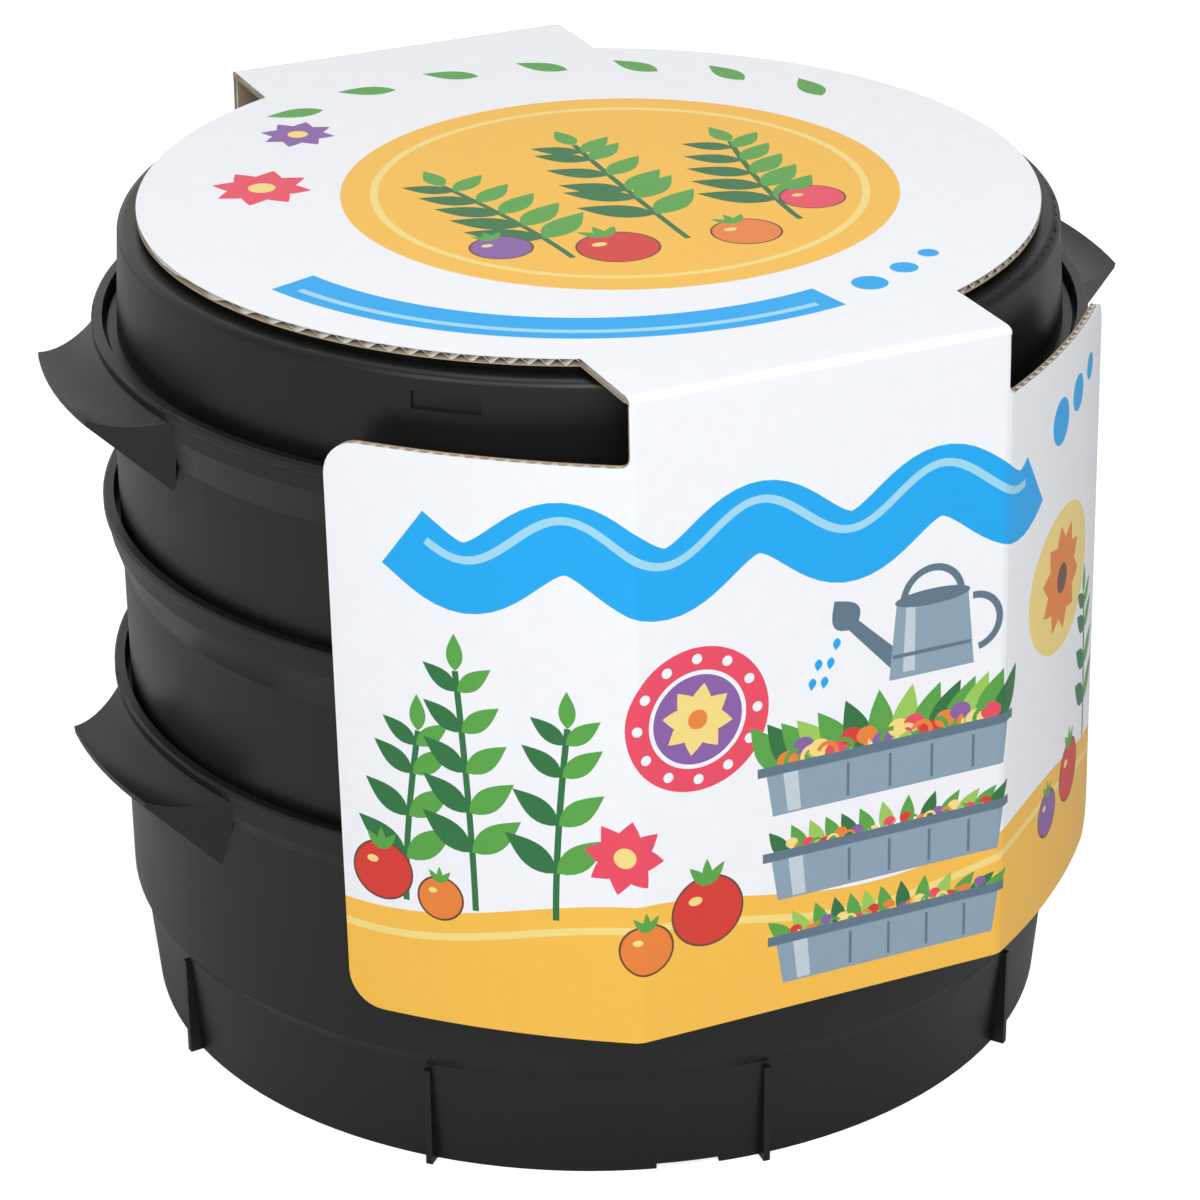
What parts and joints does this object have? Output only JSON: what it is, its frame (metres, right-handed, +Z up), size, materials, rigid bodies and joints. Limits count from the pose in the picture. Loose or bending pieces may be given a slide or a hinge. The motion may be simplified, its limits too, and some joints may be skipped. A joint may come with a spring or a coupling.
{
  "type": "wormery",
  "caption": "Round stacking wormery as packed for sale: collector, nesting working trays and vented lid in a folded board sleeve, with legs, tap and bedding inside.",
  "frame": {"origin": "centre of the bounding box at the level of the collector's foot, on the stack's axis", "axes": "+Z up the stack; the printed front panel faces -Y; the lifting wings stand out along X"},
  "size_m": [0.566, 0.5386, 0.4345],
  "materials": {
    "recycled_black": "black recycled polypropylene, satin with a fine moulded grain",
    "tap_black": "black moulded polypropylene",
    "sleeve_board": "white-lined corrugated board, printed on the outside",
    "rubber_black": "black moulded rubber",
    "coir": "pressed coconut fibre, rough",
    "band_paper": "uncoated amber paper",
    "leaflet_paper": "folded white paper"
  },
  "bodies": {
    "collector": {"collector_tray": "recycled_black", "collector_tap_wall": "recycled_black", "collector_skirt": "recycled_black", "collector_wings": "recycled_black", "tap_body": "tap_black", "tap_outer_washer": "rubber_black", "tap_inner_washer": "rubber_black"},
    "lower_tray": {"lower_working_tray": "recycled_black", "leg_1": "recycled_black", "leg_2": "recycled_black", "leg_3": "recycled_black", "leg_4": "recycled_black", "leg_5": "recycled_black"},
    "upper_tray": {"upper_working_tray": "recycled_black", "upper_tray_wings": "recycled_black", "bedding_block": "coir", "bedding_band": "band_paper", "leaflet": "leaflet_paper"},
    "lid": {"lid": "recycled_black", "lid_wall": "recycled_black"},
    "sleeve": {"sleeve_top": "sleeve_board"},
    "front_panel": {"sleeve_front_panel": "sleeve_board"},
    "back_panel": {"sleeve_back_panel": "sleeve_board"},
    "tap_handle": {"tap_handle": "tap_black", "tap_seal_ring": "rubber_black"},
    "tap_nut": {"tap_nut": "tap_black"}
  },
  "joints": [
    {"name": "lower_tray_lift", "type": "slide", "parent": "collector", "child": "lower_tray", "axis": [0, 0, 1], "range_m": [0, 0.12]},
    {"name": "upper_tray_lift", "type": "slide", "parent": "lower_tray", "child": "upper_tray", "axis": [0, 0, 1], "range_m": [0, 0.12]},
    {"name": "lid_lift", "type": "slide", "parent": "upper_tray", "child": "lid", "axis": [0, 0, 1], "range_m": [0, 0.1]},
    {"name": "sleeve_lift", "type": "slide", "parent": "lid", "child": "sleeve", "axis": [0, 0, 1], "range_m": [0, 0.35]},
    {"name": "front_panel_fold", "type": "hinge", "parent": "sleeve", "child": "front_panel", "pos_m": [0, -0.256, 0.4344], "axis": [-1, 0, 0], "range_deg": [0, 80]},
    {"name": "back_panel_fold", "type": "hinge", "parent": "sleeve", "child": "back_panel", "pos_m": [0, 0.256, 0.4344], "axis": [1, 0, 0], "range_deg": [0, 80]},
    {"name": "tap_handle_turn", "type": "hinge", "parent": "collector", "child": "tap_handle", "pos_m": [-0.0385, -0.165, 0.094], "axis": [0, 0, 1], "range_deg": [0, 90]},
    {"name": "tap_nut_off", "type": "slide", "parent": "collector", "child": "tap_nut", "axis": [1, 0, 0], "range_m": [0, 0.025]}
  ]
}
